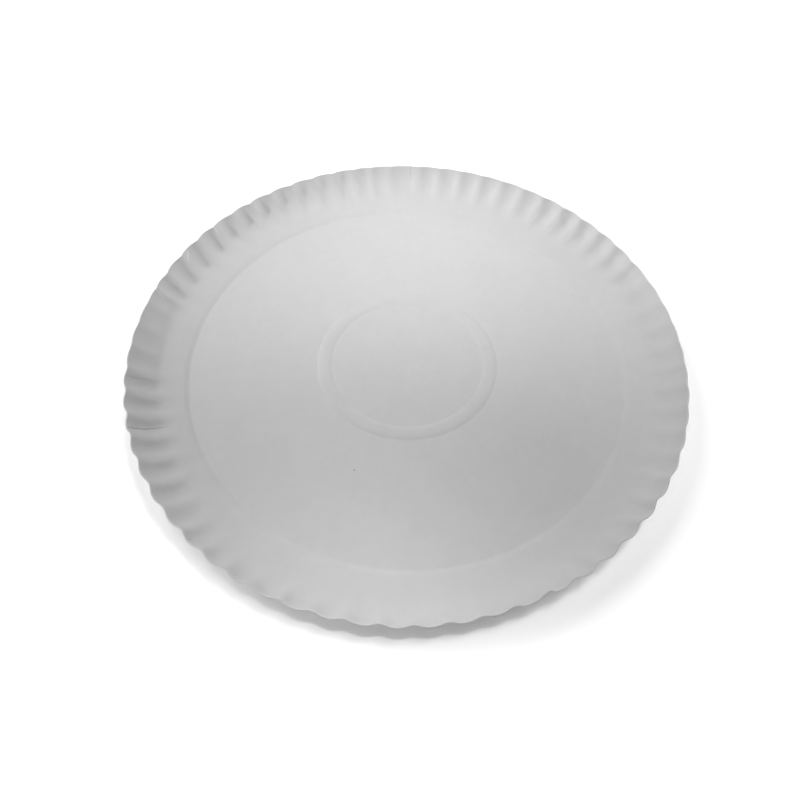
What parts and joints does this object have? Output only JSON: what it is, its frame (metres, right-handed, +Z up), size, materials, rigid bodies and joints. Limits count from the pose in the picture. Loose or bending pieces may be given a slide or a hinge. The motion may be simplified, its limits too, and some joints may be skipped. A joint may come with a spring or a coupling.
{
  "type": "paper plate",
  "caption": "Round shallow plate pressed from one sheet of white board, with a flat floor, a low raised ring in its middle and a fluted, scalloped rim.",
  "frame": {"origin": "centre of the floor's flat underside, which is the plate's lowest plane", "axes": "+Z up, square to the floor and along the plate's axis; X and Y lie in the floor, +X through the middle of a flute's crest"},
  "size_m": [0.2298, 0.2298, 0.0115],
  "materials": {
    "board": "smooth white board with a slight sheen"
  },
  "bodies": {
    "root": {"pressed_plate": "board"}
  },
  "joints": []
}
